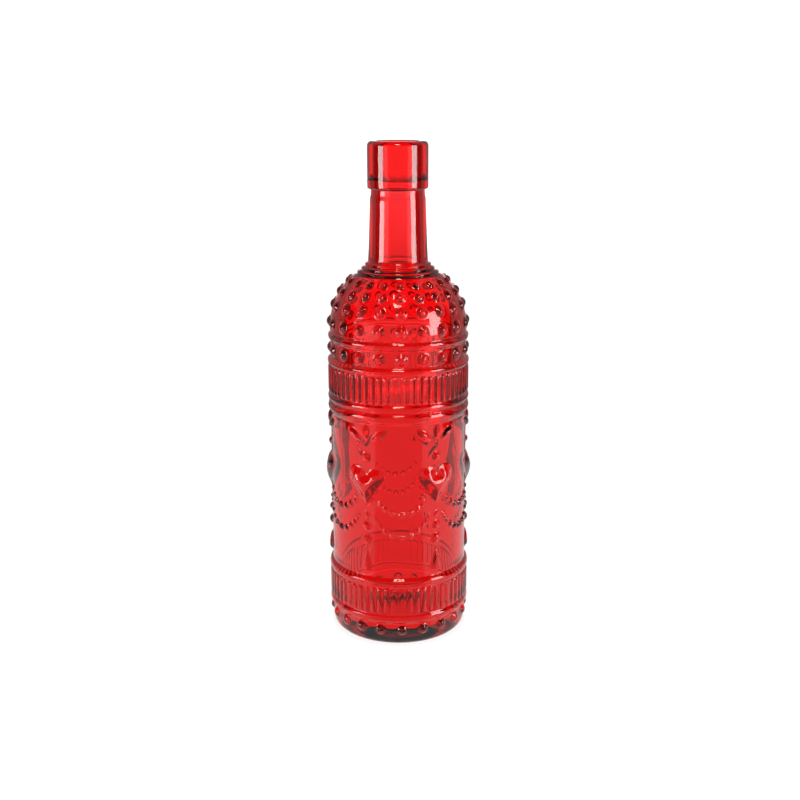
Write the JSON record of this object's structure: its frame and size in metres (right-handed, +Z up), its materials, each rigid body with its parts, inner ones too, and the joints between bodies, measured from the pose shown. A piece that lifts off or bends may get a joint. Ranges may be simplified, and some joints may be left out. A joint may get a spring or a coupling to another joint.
{
  "type": "embossed glass bottle",
  "caption": "Tall round moulded-glass bottle for oil or vinegar, with a beaded domed shoulder, fluted bands, a panel of hearts and swags, a slim neck and an open collared mouth.",
  "frame": {"origin": "on the bottle's axis, at the plane of the flat ring it stands on", "axes": "+Z up along the axis towards the mouth, -Y towards the front, where the gap between two ornament columns faces"},
  "size_m": [0.0756, 0.0734, 0.253],
  "materials": {
    "red_glass": "clear red soda-lime glass, coloured in the mass, fire polished"
  },
  "bodies": {
    "root": {"base": "red_glass", "heel_wall": "red_glass", "base_pearls": "red_glass", "foot_bead": "red_glass", "lower_flutes": "red_glass", "lower_ring": "red_glass", "panel_wall": "red_glass", "hearts": "red_glass", "petals": "red_glass", "chain_balls": "red_glass", "drops": "red_glass", "upper_swags": "red_glass", "lower_swags": "red_glass", "panel_top_ring": "red_glass", "flute_foot_ring": "red_glass", "upper_flutes": "red_glass", "band_lower_ring": "red_glass", "band_wall": "red_glass", "band_pearls": "red_glass", "band_upper_ring": "red_glass", "shoulder_dome": "red_glass", "dome_pearls_1": "red_glass", "dome_pearls_2": "red_glass", "dome_pearls_3": "red_glass", "dome_pearls_4": "red_glass", "neck_step_1": "red_glass", "neck_step_2": "red_glass", "neck_step_3": "red_glass", "neck": "red_glass", "collar_groove": "red_glass", "collar": "red_glass"}
  },
  "joints": []
}
